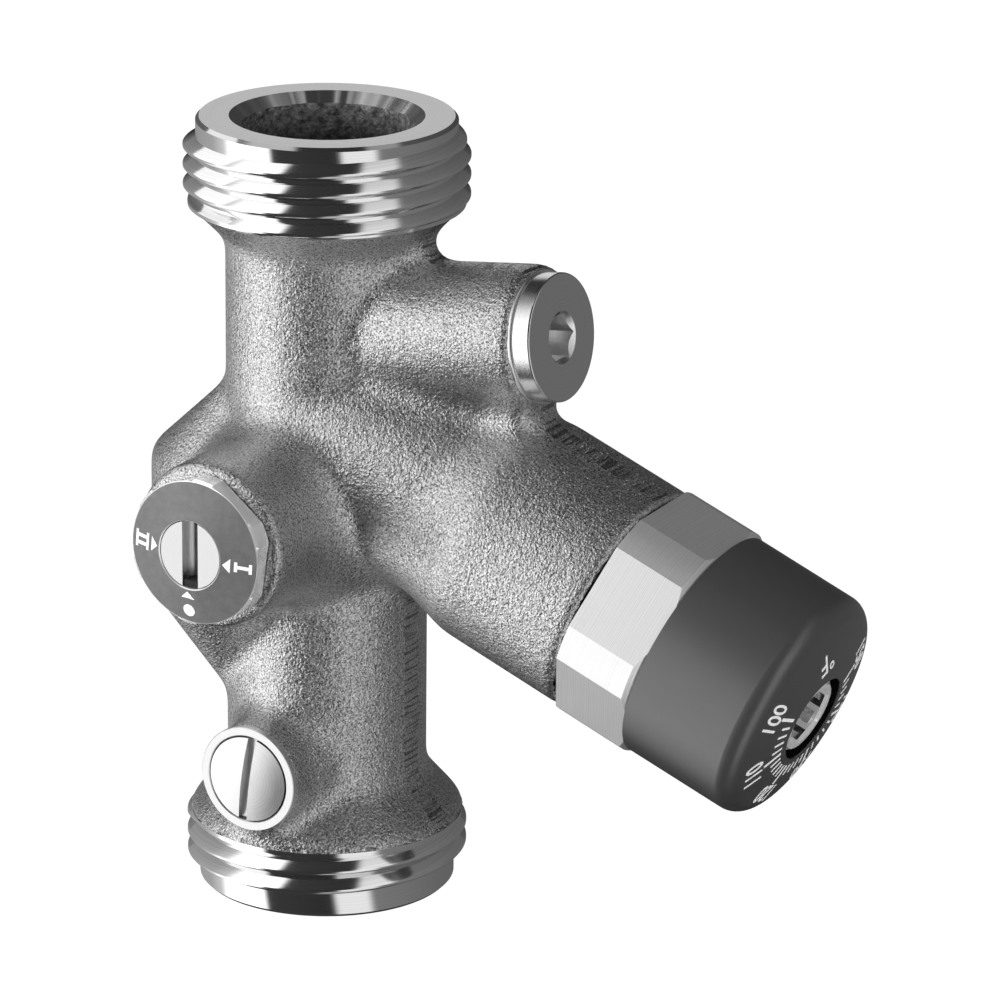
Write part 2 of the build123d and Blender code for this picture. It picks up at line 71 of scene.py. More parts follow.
def take_copy(source, name):
    """A merged copy of a CAD node, active and selected; the node itself stays as it is."""
    copy = bpy.data.objects.new(name, source.data.copy())
    bpy.context.collection.objects.link(copy)
    copy.data.name = name
    make_active(copy)
    if copy.data.has_custom_normals:
        bpy.ops.mesh.customdata_custom_splitnormals_clear()
    bpy.ops.object.mode_set(mode="EDIT")
    bpy.ops.mesh.select_all(action="SELECT")
    bpy.ops.mesh.remove_doubles(threshold=0.001 * mm)
    bpy.ops.object.mode_set(mode="OBJECT")
    return copy


def shape(piece, kind, **settings):
    """Add one modifier to the active piece and apply it."""
    modifier = piece.modifiers.new(kind.title(), kind)
    for setting, value in settings.items():
        setattr(modifier, setting, value)
    bpy.ops.object.modifier_apply(modifier=modifier.name)


def cut_square(point, normal):
    """Cut the active piece off beyond a plane and close the ring between outside and bore."""
    bpy.ops.object.mode_set(mode="EDIT")
    bpy.ops.mesh.select_all(action="SELECT")
    bpy.ops.mesh.bisect(plane_co=point, plane_no=normal, clear_outer=True)
    bpy.ops.mesh.bridge_edge_loops()
    bpy.ops.object.mode_set(mode="OBJECT")


casting = take_copy(casting_node, "casting")
shape(casting, "REMESH", mode="VOXEL", voxel_size=mould_grid)
for way in (1, 1, -1, -1):
    shape(casting, "DISPLACE", strength=way * mould_fillet / 2, mid_level=0.0, direction="NORMAL")
    shape(casting, "REMESH", mode="VOXEL", voxel_size=mould_grid)
cut_square((0, 0, upper_cut), (0, 0, 1))
cut_square((0, 0, lower_cut), (0, 0, -1))
cut_square(branch_root + branch_axis * branch_face, branch_axis)
shape(casting, "SMOOTH", factor=0.5, iterations=3)
bpy.ops.object.shade_smooth_by_angle(angle=math.radians(50))


def new_material(name, **sockets):
    """Principled material with constant sockets set, and its nodes ready to take a pattern."""
    finish = bpy.data.materials.new(name)
    finish.use_nodes = True
    shader = finish.node_tree.nodes["Principled BSDF"]
    for socket, value in sockets.items():
        shader.inputs[socket.replace("_", " ")].default_value = value
    return finish, finish.node_tree, shader


def add_node(tree, kind, inputs=None, **settings):
    """One shader node: settings by attribute or socket name, inputs to link or set by socket."""
    node = tree.nodes.new(kind)
    for setting, value in settings.items():
        if hasattr(node, setting):
            setattr(node, setting, value)
        else:
            node.inputs[setting.replace("_", " ")].default_value = value
    for socket, source in (inputs or {}).items():
        if isinstance(source, bpy.types.NodeSocket):
            tree.links.new(source, node.inputs[socket])
        else:
            node.inputs[socket].default_value = source
    return node


def object_place(tree, scale=(1, 1, 1)):
    """Object coordinates, stretched by a Mapping node."""
    place = add_node(tree, "ShaderNodeTexCoord").outputs["Object"]
    return add_node(tree, "ShaderNodeMapping", {"Vector": place}, Scale=scale).outputs[0]


def mottle(tree, scale, detail, stretch=(1, 1, 1), **settings):
    """Noise all over a piece, the finer the larger its scale."""
    place = object_place(tree, stretch)
    return add_node(
        tree, "ShaderNodeTexNoise", {"Vector": place}, Scale=scale, Detail=detail, **settings
    ).outputs[0]


def fade(tree, source, start, end):
    """Value that goes from 0 to 1 between a start and an end of its source."""
    return add_node(
        tree, "ShaderNodeMapRange", {"Value": source}, From_Min=start, From_Max=end
    ).outputs[0]


def vector_math(tree, operation, *terms):
    """Vector Math node on sockets and constants."""
    return add_node(
        tree, "ShaderNodeVectorMath", dict(enumerate(terms)), operation=operation
    ).outputs[0]


def value_math(tree, operation, *terms):
    """Math node on sockets and constants."""
    return add_node(tree, "ShaderNodeMath", dict(enumerate(terms)), operation=operation).outputs[0]


def ramp(tree, source, stops):
    """Grey ramp with stops as (position, grey) pairs."""
    node = add_node(tree, "ShaderNodeValToRGB", {"Fac": source})
    while len(node.color_ramp.elements) < len(stops):
        node.color_ramp.elements.new(0.5)
    for element, (position, grey) in zip(node.color_ramp.elements, stops):
        element.position = position
        element.color = (grey, grey, grey, 1)
    return node.outputs[0]


def bump(tree, height, distance, strength=1.0, under=None):
    """Bump from a height field, on top of another bump where one is given."""
    inputs = {"Height": height}
    if under:
        inputs["Normal"] = under
    return add_node(
        tree, "ShaderNodeBump", inputs, Distance=distance, Strength=strength
    ).outputs[0]


def coat(piece, *finishes):
    """Give a piece its finishes, in place of any that it has."""
    piece.data.materials.clear()
    for finish in finishes:
        piece.data.materials.append(finish)


parting_line_width = (2.6 * mm, 1.4 * mm)
parting_line_start = (9.0 * mm, 10.5 * mm)
cast_metal, tree, shader = new_material("blasted_cast_metal", Metallic=1.0)
wrinkle = mottle(tree, 850, 2, Distortion=0.8)
grain = mottle(tree, 3300, 1.5, Distortion=0.5)
fleck = mottle(tree, 4600, 2)
ground = mottle(tree, 1, 2, (1100, 130, 2600))
cast_place = add_node(tree, "ShaderNodeSeparateXYZ", {"Vector": object_place(tree)})
off_line = value_math(tree, "ABSOLUTE", cast_place.outputs["Y"])
on_line = fade(tree, off_line, *parting_line_width)
branch_side = fade(tree, cast_place.outputs["X"], *parting_line_start)
line_band = value_math(tree, "MULTIPLY", on_line, branch_side)
ground_marks = value_math(tree, "MULTIPLY", ground, line_band)
relief = None
for pattern, depth in ((wrinkle, 0.12), (grain, 0.14), (fleck, 0.05), (ground_marks, 0.1)):
    relief = bump(tree, pattern, depth * mm, under=relief)
tree.links.new(relief, shader.inputs["Normal"])
fleck_grey = ramp(tree, fleck, [(0.34, 0.24), (0.47, 0.68), (0.61, 0.92)])
mark_grey = ramp(tree, ground_marks, [(0.5, 1.0), (0.58, 0.4)])
cast_grey = vector_math(tree, "MULTIPLY", fleck_grey, mark_grey)
tree.links.new(cast_grey, shader.inputs["Base Color"])
tree.links.new(ramp(tree, grain, [(0.3, 0.42), (0.7, 0.26)]), shader.inputs["Roughness"])

coat(casting, cast_metal)
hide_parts("valve_body")
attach(casting, "valve")

# Turned connections: the ends of the same casting, turned to a flat sealing face with a
# countersunk mouth and cut with right-hand 1 inch pipe thread that runs out at the collar.
# Bright, with fine turning lines; the bore below the countersink is left as cast.
body_height = 93.2 * mm
thread_crest = 16.62 * mm
thread_root = 15.145 * mm
thread_pitch = 2.309 * mm
mouth_radius = 11.3 * mm
cast_bore = 10.0 * mm
mouth_depth = 1.2 * mm
collar_radius = 16.1 * mm
cast_shoulder = 15.6 * mm
camera_azimuth = math.radians(32)


def turned_frame(origin, axis):
    """Matrix of a turned piece: local Z along its axis outwards, local X level."""
    level = Vector((0, 0, 1)).cross(axis)
    level = level.normalized() if level.length > 0.01 else Vector((1, 0, 0))
    turned = Matrix((level, axis.cross(level), axis)).transposed().to_4x4()
    return Matrix.Translation(origin) @ turned


def turned_finish(
    name, frame_matrix, dark, pale, roughness, depth=0.006 * mm, pitch=0.09 * mm, rings=1.0,
    metal=1.0,
):
    """Metal with tool marks: rings on faces square to the axis, lines round the sides."""
    finish, tree, shader = new_material(name, Metallic=metal, Roughness=roughness)
    place = add_node(tree, "ShaderNodeTexCoord").outputs["Object"]
    local = add_node(tree, "ShaderNodeMapping", {
        "Vector": place, "Location": frame_matrix.translation, "Rotation": frame_matrix.to_euler(),
    }, vector_type="TEXTURE").outputs[0]
    flat = vector_math(tree, "MULTIPLY", local, (1, 1, 0))
    radius = add_node(tree, "ShaderNodeVectorMath", {0: flat}, operation="LENGTH").outputs["Value"]
    station = add_node(tree, "ShaderNodeSeparateXYZ", {"Vector": local}).outputs["Z"]
    cut = value_math(tree, "MULTIPLY_ADD", radius, rings, station)
    tool_marks = add_node(
        tree, "ShaderNodeTexNoise", {"W": cut}, noise_dimensions="1D", Scale=1 / pitch, Detail=3
    ).outputs[0]
    tree.links.new(bump(tree, tool_marks, depth), shader.inputs["Normal"])
    tree.links.new(ramp(tree, tool_marks, [(0.3, dark), (0.7, pale)]), shader.inputs["Base Color"])
    return finish


upright = Matrix.Identity(4)
turned_metal = turned_finish("bright_turned_metal", upright, 0.86, 0.98, 0.1, 0.0003 * mm)
faced_metal = turned_finish("faced_metal", upright, 0.7, 0.98, 0.34, 0.01 * mm)
countersunk_metal = turned_finish("countersunk_metal", upright, 0.75, 0.95, 0.24, 0.003 * mm)
thread_metal = turned_finish("cut_thread_metal", upright, 0.86, 0.98, 0.12, 0.0003 * mm)
tree = thread_metal.node_tree
place = add_node(tree, "ShaderNodeTexCoord").outputs["Object"]
outward = vector_math(tree, "NORMALIZE", vector_math(tree, "MULTIPLY", place, (1, 1, 0)))
flank_normal = add_node(tree, "ShaderNodeNewGeometry").outputs["Normal"]
rounded = vector_math(tree, "NORMALIZE", vector_math(tree, "ADD", flank_normal, outward))
line_bump = next(node for node in tree.nodes if node.type == "BUMP")
tree.links.new(rounded, line_bump.inputs["Normal"])


def mix_colours(tree, share, under, over):
    """Mix of two colours, each a socket or red, green, blue and alpha."""
    return add_node(
        tree, "ShaderNodeMix", {0: share, 6: under, 7: over}, data_type="RGBA"
    ).outputs[2]


bore_metal, tree, shader = new_material("cast_bore_metal", Metallic=0.7, Roughness=0.55)
lumps = mottle(tree, 1300, 4, Roughness=0.6)
tree.links.new(bump(tree, lumps, 0.4 * mm), shader.inputs["Normal"])
bore_place = add_node(tree, "ShaderNodeSeparateXYZ", {"Vector": object_place(tree)})
# Painted shade: the bore's colour fades to near black deeper inside, away from the two mouths,
# where shade falls; near the mouths it keeps the lumpy cast grey.
from_middle = value_math(tree, "SUBTRACT", bore_place.outputs["Z"], body_height / 2)
outwards = value_math(tree, "ABSOLUTE", from_middle)
painted_mouth_light = fade(tree, outwards, body_height / 2 - 7.0 * mm, body_height / 2 - 1.5 * mm)
lump_grey = ramp(tree, lumps, [(0.3, 0.06), (0.7, 0.4)])
bore_grey_with_painted_shade = mix_colours(tree, painted_mouth_light, (0.01, 0.01, 0.01, 1), lump_grey)
tree.links.new(bore_grey_with_painted_shade, shader.inputs["Base Color"])


def draw_outline(name, outline):
    """Closed wire beside the Z axis from (radius, height) points."""
    deselect_everything()
    bpy.ops.mesh.primitive_circle_add(vertices=len(outline), radius=mm)
    wire = bpy.context.object
    wire.name = wire.data.name = name
    for vertex, (radius, height) in zip(wire.data.vertices, outline):
        vertex.co = (radius, 0, height)
    return wire


def lathe(name, outline, steps=192):
    """Closed ring turned about Z from a closed outline of (radius, height) points."""
    ring = draw_outline(name, outline)
    bpy.ops.object.mode_set(mode="EDIT")
    bpy.ops.mesh.select_all(action="SELECT")
    bpy.ops.mesh.spin(steps=steps, angle=math.tau, center=(0, 0, 0), axis=(0, 0, 1))
    bpy.ops.mesh.select_all(action="SELECT")
    bpy.ops.mesh.remove_doubles(threshold=0.001 * mm)
    bpy.ops.mesh.normals_make_consistent(inside=False)
    bpy.ops.object.mode_set(mode="OBJECT")
    bpy.ops.object.shade_smooth_by_angle(angle=math.radians(30))
    return ring


def connection(name, collar_depth, cast_side):
    """One turned end, its sealing face at height 0 and the collar above it."""
    outline = [
        (mouth_radius, 0), (thread_root - 0.4 * mm, 0), (thread_root, 0.4 * mm),
        (thread_root, collar_depth - 1.1 * mm), (thread_root + 0.2 * mm, collar_depth - 0.7 * mm),
        (collar_radius - 0.2 * mm, collar_depth - 0.25 * mm), (collar_radius, collar_depth),
        (collar_radius, cast_side), (cast_shoulder, cast_side + 0.3 * mm),
        (cast_bore, cast_side + 0.3 * mm), (cast_bore, 4.5 * mm), (cast_bore, 3.2 * mm),
        (cast_bore, 2.2 * mm), (cast_bore, 1.6 * mm), (cast_bore, mouth_depth),
    ]
    end = lathe(name, outline)
    for vertex in end.data.vertices:
        radial = vertex.co.xy.length
        if radial < cast_bore + 0.01 * mm:
            rough = noise.noise(vertex.co / (1.1 * mm)) + 0.6 * noise.noise(vertex.co / (0.5 * mm))
            vertex.co.xy *= 1 + rough * 0.03
    coat(end, turned_metal, faced_metal, bore_metal, countersunk_metal)
    for face in end.data.polygons:
        radial = face.center.xy.length
        if abs(face.normal.z) > 0.99 and face.center.z < mm:
            face.material_index = 1
        elif radial < mouth_radius and face.center.z < mouth_depth:
            face.material_index = 3
        elif radial < cast_bore + 0.3 * mm and face.center.z > mouth_depth:
            face.material_index = 2
    return end


def thread_ridge(name, first_crest, turns, start_angle):
    """Right-hand ridge that grows out of the root, winds up and runs out again."""
    half = (thread_crest - thread_root) * math.tan(math.radians(27.5)) + 0.18 * mm
    sunk = 0.25 * mm
    rounding = 0.12 * mm
    lower_side = [
        (thread_root - sunk, -half - 0.1 * mm), (thread_root, -half),
        (thread_crest - rounding, -2 * rounding), (thread_crest, -0.1 * mm),
    ]
    outline = lower_side + [(radius, -height) for radius, height in reversed(lower_side)]
    ridge = draw_outline(name, outline)
    steps = round(turns * 160)
    shape(
        ridge, "SCREW", angle=turns * math.tau, screw_offset=turns * thread_pitch, axis="Z",
        steps=steps, render_steps=steps,
    )
    run_out = 22
    for vertex in ridge.data.vertices:
        step = vertex.index // len(outline)
        full = min(1.0, min(step, steps - step) / run_out)
        radial = vertex.co.xy.length
        vertex.co.xy *= (thread_root - sunk + (radial - thread_root + sunk) * full) / radial
    bpy.ops.object.mode_set(mode="EDIT")
    bpy.ops.mesh.select_all(action="DESELECT")
    bpy.ops.mesh.select_non_manifold()
    bpy.ops.mesh.edge_face_add()
    bpy.ops.mesh.select_all(action="SELECT")
    bpy.ops.mesh.normals_make_consistent(inside=False)
    bpy.ops.object.mode_set(mode="OBJECT")
    ridge.data.transform(Matrix.Rotation(start_angle, 4, "Z"))
    ridge.data.transform(Matrix.Translation((0, 0, first_crest)))
    bpy.ops.object.shade_smooth_by_angle(angle=math.radians(35))
    coat(ridge, thread_metal)
    return ridge


def place_in_frame(piece, matrix):
    """Move the mesh, not the object; a mirrored mesh gets its faces turned back outwards."""
    piece.data.transform(matrix)
    if matrix.determinant() < 0:
        piece.data.flip_normals()


upper_end = connection("upper_connection", 9.9 * mm, 10.3 * mm)
upside_down = Matrix.Rotation(math.pi, 4, "X")
place_in_frame(upper_end, Matrix.Translation((0, 0, body_height)) @ upside_down)
lower_end = connection("lower_connection", 7.9 * mm, 8.4 * mm)
front = camera_azimuth - math.pi / 2
upper_turns = 3.55
upper_end_turn = 1 / 3
upper_start = front + (upper_end_turn - upper_turns) * math.tau
upper_height = body_height - 2.77 * mm + thread_pitch * (upper_end_turn - upper_turns)
upper_thread = thread_ridge("upper_thread", upper_height, upper_turns, upper_start)
lower_thread = thread_ridge("lower_thread", 2.75 * mm, 2.4, front + math.pi)
for piece in (upper_end, lower_end, upper_thread, lower_thread):
    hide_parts("valve_body")
    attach(piece, "valve")

# Machined seats: the spot-faced ends of the sensor boss and of the port boss, bright flat
# rings cut on the casting where the plugs sit.
plug_rise = math.radians(7.0)
plug_axis = Vector((math.cos(plug_rise), 0, math.sin(plug_rise)))
plug_frame = turned_frame(Vector((0, 0, 67.7 * mm)), plug_axis)
plug_seat_face = 29.2 * mm
port_frame = turned_frame(Vector((0, 0, 17.3 * mm)), Vector((0, -1, 0)))
port_rim_face = 17.4 * mm


def seat_ring(name, frame_matrix, face, outer, inner, finish):
    """Thin machined ring that stands 0.1 mm proud of the cast boss."""
    ring = lathe(name, [
        (inner, face - 0.6 * mm), (outer, face - 0.6 * mm), (outer, face + 0.02 * mm),
        (outer - 0.08 * mm, face + 0.1 * mm), (inner + 0.1 * mm, face + 0.1 * mm), (inner, face),
    ], steps=96)
    place_in_frame(ring, frame_matrix)
    coat(ring, finish)
    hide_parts("valve_body")
    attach(ring, "valve")


plug_seat_finish = turned_finish("plug_seat_metal", plug_frame, 0.75, 0.95, 0.25)
port_rim_finish = turned_finish("port_rim_metal", port_frame, 0.85, 1.0, 0.4)
seat_ring("plug_seat", plug_frame, plug_seat_face, 7.75 * mm, 5.5 * mm, plug_seat_finish)
seat_ring("port_rim", port_frame, port_rim_face, 6.32 * mm, 5.27 * mm, port_rim_finish)

# Bonnet: turned from bar with six milled flats, screwed into the branch. The flats keep the
# cutter's lines across the axis; the round bands between them and the chamfer are turned.
branch_frame = turned_frame(branch_root, branch_axis)
bonnet_metal = turned_finish(
    "milled_bonnet_metal", branch_frame, 0.78, 1.0, 0.32, 0.01 * mm, 0.1 * mm, rings=0.0,
    metal=0.84,
)
coat(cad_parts["bonnet"], bonnet_metal)

# Dial cap: black moulded plastic, satin, with a crowned face. It is pushed over the bonnet's
# neck and stays with the valve while the spindle turns in its hole.
plastic, tree, shader = new_material(
    "satin_black_plastic", Roughness=0.4, Coat_Weight=1.0, Coat_IOR=1.8, Coat_Roughness=0.28
)
shader.inputs["Base Color"].default_value = (0.035, 0.035, 0.036, 1)
spark = mottle(tree, 6000, 3)
tree.links.new(bump(tree, spark, 0.02 * mm, 0.5), shader.inputs["Normal"])
coat(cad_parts["dial_cap"], plastic)

# Dial print: white pad-printed scale from 100 to 150 in steps of two, with its unit. The ink
# lies on the crowned face of the cap and follows it.
crown_top = 69.65 * mm
crown_radius = 50.0 * mm
print_angle = math.radians(162.5)
print_step = math.radians(9.1)
ink_depth = 0.06 * mm
tick_start = 6.2 * mm
ink, tree, shader = new_material("white_ink", Roughness=0.6)
wear = mottle(tree, 5000, 3)
tree.links.new(ramp(tree, wear, [(0.3, 0.62), (0.6, 0.85)]), shader.inputs["Base Color"])


def crown_height(radius):
    return crown_top - crown_radius + math.sqrt(crown_radius ** 2 - radius ** 2)


def lay_on_crown(mark):
    """Bend a flat mark drawn about the dial's centre on to the crowned face."""
    for vertex in mark.data.vertices:
        vertex.co.z += crown_height(vertex.co.xy.length)
    dial_frame = Matrix((Vector((0, 1, 0)), branch_up, branch_axis)).transposed().to_4x4()
    place_in_frame(mark, Matrix.Translation(branch_root) @ dial_frame)


def flat_text(name, words, height, width_share, weight):
    """Flat lettering of a given height as a closed mesh, centred on the origin."""
    deselect_everything()
    bpy.ops.object.text_add()
    lettering = bpy.context.object
    lettering.name = name
    lettering.data.body = words
    lettering.data.size = 4 * mm
    lettering.data.extrude = ink_depth / 2
    lettering.data.offset = weight
    lettering.data.resolution_u = 4
    bpy.ops.object.convert(target="MESH")
    lettering = bpy.context.object
    lettering.data.name = name
    xs = [vertex.co.x for vertex in lettering.data.vertices]
    ys = [vertex.co.y for vertex in lettering.data.vertices]
    centre = Vector(((min(xs) + max(xs)) / 2, (min(ys) + max(ys)) / 2, 0))
    scale = height / (max(ys) - min(ys))
    lettering.data.transform(
        Matrix.Diagonal((scale * width_share, scale, 1, 1)) @ Matrix.Translation(-centre)
    )
    return lettering


def turn_and_shift(mark, turn, radius, angle):
    """Turn a flat mark and put its centre at a radius and angle of the dial."""
    spot = Vector((radius * math.cos(angle), radius * math.sin(angle), 0))
    mark.data.transform(Matrix.Translation(spot) @ Matrix.Rotation(turn, 4, "Z"))


def flat_bar(name, length, width, depth=ink_depth):
    """Bar centred on the origin, its length along X."""
    deselect_everything()
    bpy.ops.mesh.primitive_cube_add(size=1)
    bar = bpy.context.object
    bar.name = bar.data.name = name
    bar.data.transform(Matrix.Diagonal((length, width, depth, 1)))
    return bar


def join_marks(marks, name):
    """Join single marks into one print."""
    make_active(marks[0])
    for mark in marks:
        mark.select_set(True)
    bpy.ops.object.join()
    joined = bpy.context.object
    joined.name = joined.data.name = name
    return joined


dial_marks = []
for number in range(6):
    angle = print_angle + number * 5 * print_step
    value = 100 + 10 * number
    figures = flat_text(f"dial_{value}", str(value), 2.6 * mm, 0.78, 0.05 * mm)
    turn_and_shift(figures, angle - math.pi / 2, 10.4 * mm, angle)
    dial_marks.append(figures)
unit = flat_text("dial_unit", "\u00b0F", 3.0 * mm, 0.8, 0.03 * mm)
turn_and_shift(unit, math.radians(297) - math.pi / 2, 8.2 * mm, math.radians(102))
dial_marks.append(unit)
for tick in range(26):
    tick_end, thick = (8.9 * mm, 0.42 * mm) if tick % 5 == 0 else (7.8 * mm, 0.3 * mm)
    angle = print_angle + tick * print_step
    stroke = flat_bar(f"dial_tick_{tick}", tick_end - tick_start, thick)
    turn_and_shift(stroke, angle, (tick_end + tick_start) / 2, angle)
    dial_marks.append(stroke)
dial_print = join_marks(dial_marks, "dial_print")
lay_on_crown(dial_print)
coat(dial_print, ink)
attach(dial_print, "valve")

# Setting spindle: turned stainless steel with a hexagon socket; its head stands in the hole
# of the dial cap and turns there. The thrust washer and clip behind it are stamped steel.
spindle_metal = turned_finish(
    "spindle_metal", branch_frame, 0.85, 0.95, 0.16, 0.003 * mm, metal=0.85
)
for node_name in ("setting_spindle", "thrust_washer", "spindle_clip"):
    coat(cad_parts[node_name], spindle_metal)

head_top = 68.9 * mm
head_foot = 65.2 * mm
head_radius = 4.7 * mm
socket_flat = 3.0 * mm
socket_radius = socket_flat / math.cos(math.pi / 6)
head = lathe("spindle_head", [
    (socket_radius, head_foot), (head_radius, head_foot), (head_radius, head_top - 0.5 * mm),
    (head_radius - 0.5 * mm, head_top), (socket_radius + 0.25 * mm, head_top),
    (socket_radius, head_top - 0.3 * mm),
], steps=180)


def flat_reach(vertex, flat, turned=0.0):
    """Distance from the axis to a hexagon's flat, in the direction of a vertex."""
    angle = math.atan2(vertex.co.y, vertex.co.x) - turned
    return flat / math.cos((angle + math.pi / 6) % (math.pi / 3) - math.pi / 6)


for vertex in head.data.vertices:
    if vertex.co.xy.length < socket_radius + 0.01 * mm:
        vertex.co.xy *= flat_reach(vertex, socket_flat) / vertex.co.xy.length
head_metal = turned_finish(
    "spindle_head_metal", branch_frame, 0.9, 1.0, 0.3, 0.003 * mm, metal=0.6
)
# Painted shade: every other facet of the hexagon socket gets this near-black finish in place of
# the shade on those facets; the others keep the bright head metal.
painted_facet_shade_metal, tree, shader = new_material("painted_shade_socket_facets", Roughness=0.4, Metallic=0.6)
facet_shade_mottle = mottle(tree, 1500, 3)
tree.links.new(ramp(tree, facet_shade_mottle, [(0.3, 0.015), (0.7, 0.09)]), shader.inputs["Base Color"])
coat(head, head_metal, painted_facet_shade_metal)
# Painted shade on every other socket facet.
for face in head.data.polygons:
    inside = abs(face.normal.z) < 0.1 and face.center.xy.length < socket_radius + 0.05 * mm
    facet = int(math.degrees(math.atan2(face.center.y, face.center.x)) % 360 // 60)
    if inside and facet % 2 == 0:
        face.material_index = 1
place_in_frame(head, branch_frame)
make_active(head)
bpy.ops.object.shade_smooth_by_angle(angle=math.radians(20))
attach(head, "spindle")

# Painted shade: a thin sleeve, near black and without gloss, lines the hole of the dial cap in
# place of the shadow in the gap round the spindle head.
wall_outer = 5.29 * mm
wall_inner = 5.24 * mm
wall_foot = 66.2 * mm
wall_top = 69.2 * mm
hole_shade_sleeve = lathe("dial_hole_shade_sleeve", [
    (wall_inner, wall_foot), (wall_outer, wall_foot), (wall_outer, wall_top),
    (wall_inner, wall_top),
], steps=96)
place_in_frame(hole_shade_sleeve, branch_frame)
painted_hole_shade_finish, tree, shader = new_material("painted_hole_shade_black", Roughness=1.0, Specular_IOR_Level=0.0)
dull = mottle(tree, 4000, 2)
tree.links.new(ramp(tree, dull, [(0.3, 0.002), (0.7, 0.006)]), shader.inputs["Base Color"])
coat(hole_shade_sleeve, painted_hole_shade_finish)
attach(hole_shade_sleeve, "valve")

# Sensor plug: turned brass plug with a hexagon socket, screwed into the boss above the
# branch against its O-ring. Its face keeps fine rings, its side is polished.
plug_metal = turned_finish("sensor_plug_metal", plug_frame, 0.8, 1.0, 0.2)
coat(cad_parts["sensor_plug"], plug_metal)

# Selector: disc nut with a grey crowned face and white marks, screwed over the slotted
# spindle that turns between the three marked positions. Behind the rim it has milled flats.
selector_frame = turned_frame(Vector((0, 0, 48.3 * mm)), Vector((0, -1, 0)))
face_edge = 28.3 * mm
face_top = 29.4 * mm
face_radius = 8.35 * mm
window_radius = 4.05 * mm
window_edge = 4.17 * mm
disc_radius = 8.7 * mm
disc_flats = 8.08 * mm
disc_back = 25.95 * mm
nut_metal = turned_finish(
    "selector_nut_metal", selector_frame, 0.86, 1.0, 0.24, 0.004 * mm, metal=0.72
)
grey_face, tree, shader = new_material("selector_face_grey", Roughness=0.45, Metallic=0.2)
cloud = mottle(tree, 900, 5, Roughness=0.7)
tree.links.new(ramp(tree, cloud, [(0.3, 0.1), (0.7, 0.135)]), shader.inputs["Base Color"])
tree.links.new(bump(tree, cloud, 0.01 * mm, 0.4), shader.inputs["Normal"])
selector_nut = lathe("selector_disc", [
    (window_radius, disc_back), (disc_radius, disc_back), (disc_radius, face_edge - 0.2 * mm),
    (face_radius + 0.1 * mm, face_edge - 0.06 * mm), (face_radius, face_edge),
    (window_edge, face_top), (window_radius, face_top - 0.12 * mm),
], steps=360)
for vertex in selector_nut.data.vertices:
    limit = flat_reach(vertex, disc_flats, math.radians(51.8))
    if vertex.co.xy.length > limit and vertex.co.z < face_edge - 0.1 * mm:
        vertex.co.xy *= limit / vertex.co.xy.length
        vertex.co.z -= 0.1 * mm if vertex.co.z > disc_back + 0.1 * mm else 0
place_in_frame(selector_nut, selector_frame)
coat(selector_nut, nut_metal, grey_face)
for face in selector_nut.data.polygons:
    if face.normal.y < -0.9 and -face.center.y > face_edge + 0.1 * mm:
        face.material_index = 1
make_active(selector_nut)
bpy.ops.object.shade_smooth_by_angle(angle=math.radians(12))
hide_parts("selector_nut")
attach(selector_nut, "valve")

selector_marks = []


def face_height(radius):
    """Height of the print on the sloped face at a radius."""
    share = (face_radius - radius) / (face_radius - window_edge)
    return face_edge + (face_top - face_edge) * share + 0.015 * mm


def set_mark(mark, radius, offset, angle):
    """Put a flat mark at a radius, beside the radial line, and turn it round the window."""
    mark.data.transform(Matrix.Translation((radius, offset, 0)))
    mark.data.transform(Matrix.Rotation(angle, 4, "Z"))
    selector_marks.append(mark)


for side, angle in enumerate((0, math.pi, -math.pi / 2)):
    deselect_everything()
    bpy.ops.mesh.primitive_cylinder_add(vertices=3, radius=mm, depth=ink_depth)
    arrow = bpy.context.object
    arrow.name = arrow.data.name = f"selector_arrow_{side}"
    arrow.data.transform(Matrix.Rotation(math.radians(90), 4, "Z"))
    arrow.data.transform(Matrix.Diagonal((0.6, 1.0, 1, 1)))
    set_mark(arrow, 5.0 * mm, 0, angle)
for words, angle in (("I", 0), ("II", math.pi)):
    for stem in range(len(words)):
        bar = flat_bar(f"selector_stem_{words}_{stem}", 1.8 * mm, 0.4 * mm)
        set_mark(bar, 6.8 * mm, (stem - (len(words) - 1) / 2) * 0.9 * mm, angle)
    for serif in (5.95 * mm, 7.65 * mm):
        bar = flat_bar(f"selector_serif_{words}", 0.35 * mm, (0.25 + 0.9 * len(words)) * mm)
        set_mark(bar, serif, 0, angle)
deselect_everything()
bpy.ops.mesh.primitive_cylinder_add(vertices=40, radius=0.75 * mm, depth=ink_depth)
dot = bpy.context.object
dot.name = dot.data.name = "selector_dot"
dot.data.transform(Matrix.Translation((0, -6.9 * mm, 0)))
selector_marks.append(dot)
selector_print = join_marks(selector_marks, "selector_print")
for vertex in selector_print.data.vertices:
    vertex.co.z += face_height(vertex.co.xy.length)
selector_print.data.transform(Matrix.Rotation(math.radians(-4.5), 4, "Z"))
place_in_frame(selector_print, selector_frame)
coat(selector_print, ink)
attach(selector_print, "valve")

spindle_face_metal = turned_finish(
    "selector_spindle_metal", selector_frame, 0.7, 0.74, 0.36, 0.002 * mm
)
for node_name in ("selector_spindle", "selector_washer"):
    coat(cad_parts[node_name], spindle_face_metal)

# Near-black block that fills the lower end of the spindle's slot and turns with the selector.
pointer = flat_bar("selector_pointer", 2.02 * mm, 0.8 * mm, 1.7 * mm)
pointer.data.transform(Matrix.Translation((0, -3.5 * mm, 28.2 * mm)))
place_in_frame(pointer, selector_frame)
near_black_slot_finish, tree, shader = new_material("near_black_slot_finish", Roughness=0.7)
dull = mottle(tree, 4000, 2)
tree.links.new(ramp(tree, dull, [(0.3, 0.008), (0.7, 0.02)]), shader.inputs["Base Color"])
coat(pointer, near_black_slot_finish)
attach(pointer, "selector")

